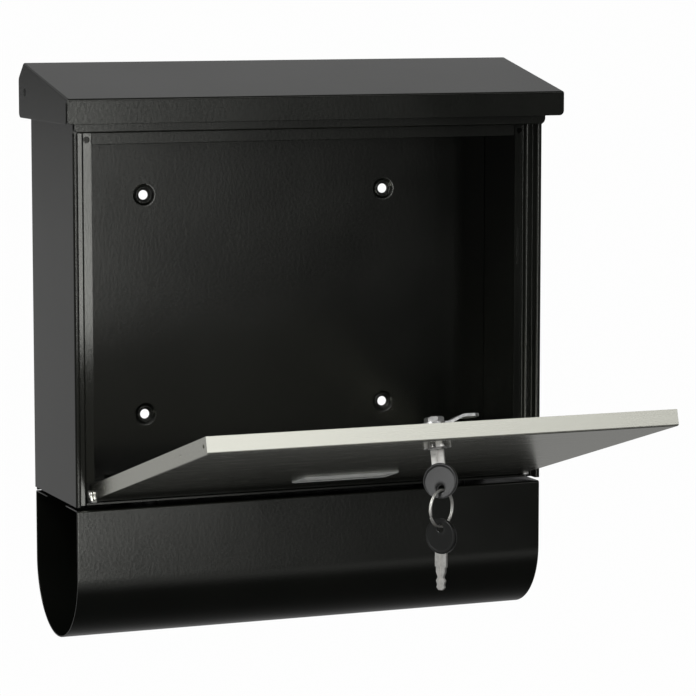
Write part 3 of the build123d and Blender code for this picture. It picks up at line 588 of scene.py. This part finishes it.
floor_reach = 300.0
floor_level = -1.2
corners = [(-1, -1), (1, -1), (1, 1), (-1, 1)]
floor_mesh = bpy.data.meshes.new("floor")
floor_points = [(floor_reach * x, floor_reach * y, floor_level) for x, y in corners]
floor_mesh.from_pydata(floor_points, [], [(0, 1, 2, 3)])
floor = bpy.data.objects.new("floor", floor_mesh)
scene.collection.objects.link(floor)
pale, tree, shader = new_material("pale_floor")
shader.inputs["Base Color"].default_value = (0.8, 0.8, 0.79, 1.0)
shader.inputs["Roughness"].default_value = 0.9
split = tree.nodes.new("ShaderNodeSeparateXYZ")
tree.links.new(tree.nodes.new("ShaderNodeTexCoord").outputs["Object"], split.inputs[0])
# What metal sees of the floor is a painted glow: dark in front and pale behind, paler to the left, fading far
# off, with a painted pool of light below the wide lamp.
painted_floor_glow = math_node(tree, "MULTIPLY", gradient(tree, split.outputs["Y"], -0.3, 1.6, 0.05, 0.38),
                 gradient(tree, split.outputs["X"], -0.5, 1.0, 1.0, 0.7))
painted_floor_glow = math_node(tree, "MULTIPLY", painted_floor_glow, gradient(tree, split.outputs["Y"], 14.0, 50.0, 1.0, 0.25))
# Painted light: a soft pool of glow painted on the floor below the wide lamp.
painted_spill = math_node(tree, "MULTIPLY", gradient(tree, split.outputs["Y"], -3.3, -2.9, 0.0, 1.0),
                  gradient(tree, split.outputs["Y"], -2.6, -1.3, 0.45, 0.0))
painted_floor_glow = math_node(tree, "ADD", painted_floor_glow, painted_spill)
level, direct, mirrored = seen_white(tree, painted_floor_glow)
white = tree.nodes.new("ShaderNodeEmission")
tree.links.new(level, white.inputs["Strength"])
blend = tree.nodes.new("ShaderNodeMixShader")
shown = math_node(tree, "MULTIPLY", direct, 0.985)
tree.links.new(math_node(tree, "MAXIMUM", shown, mirrored), blend.inputs["Fac"])
tree.links.new(shader.outputs["BSDF"], blend.inputs[1])
tree.links.new(white.outputs["Emission"], blend.inputs[2])
tree.links.new(blend.outputs["Shader"], tree.nodes["Material Output"].inputs["Surface"])
floor_mesh.materials.append(pale)

world = bpy.data.worlds.new("studio")
scene.world = world
world.use_nodes = True
sky = world.node_tree
split = sky.nodes.new("ShaderNodeSeparateXYZ")
sky.links.new(sky.nodes.new("ShaderNodeTexCoord").outputs["Generated"], split.inputs[0])
room = math_node(sky, "MULTIPLY", gradient(sky, split.outputs["Y"], -0.6, 0.4, 0.12, 1.0),
                 gradient(sky, split.outputs["Z"], 0.0, 0.25, 0.10, 0.38))
level = seen_white(sky, room)[0]
sky.links.new(level, sky.nodes["Background"].inputs["Strength"])
sky.nodes["Background"].inputs["Color"].default_value = (1.0, 1.0, 1.0, 1.0)


def softbox(name, place, aim, wide, tall, watts):
    """A rectangular lamp that faces a point."""
    lamp = bpy.data.lights.new(name, "AREA")
    lamp.shape = "RECTANGLE"
    lamp.size = wide
    lamp.size_y = tall
    lamp.energy = watts
    holder = bpy.data.objects.new(name, lamp)
    holder.location = place
    holder.rotation_euler = (Vector(aim) - Vector(place)).to_track_quat("-Z", "Y").to_euler()
    holder.visible_camera = False
    scene.collection.objects.link(holder)
    return holder


softbox("front_light", (-0.20, -3.06, 0.70), (0.0, -0.1, 0.0), 2.7, 3.7, 14.0)
# The narrow lamp draws the light lines on the front frame, so it lights the coated sheet only.
strip = softbox("strip_light", (0.37, -3.10, -0.25), (0.37, 0.0, -0.25), 0.34, 1.7, 17.5)
coated = bpy.data.collections.new("coated_sheet")
for piece in scene.collection.objects:
    if piece.type == "MESH" and coat in list(piece.data.materials):
        coated.objects.link(piece)
strip.light_linking.receiver_collection = coated
softbox("right_light", (1.00, -2.70, 1.00), (0.0, -0.2, -0.05), 1.7, 0.80, 4.2)
softbox("left_light", (-2.3, -1.2, 0.9), (0.0, -0.1, 0.0), 1.3, 1.3, 21.5)
softbox("high_light", (-1.8, -1.5, 2.4), (0.0, -0.1, 0.0), 1.2, 1.2, 50.0)

camera = bpy.data.cameras.new("photo_camera")
camera.sensor_width = 36.0
camera.lens = 165.84
camera.clip_end = 1000.0
viewer = bpy.data.objects.new("photo_camera", camera)
viewer.location = (-0.84276, -2.23055, 0.24782)
viewer.rotation_euler = (math.radians(90.0 - 6.8), 0.0, math.radians(-22.2))
scene.collection.objects.link(viewer)
scene.camera = viewer
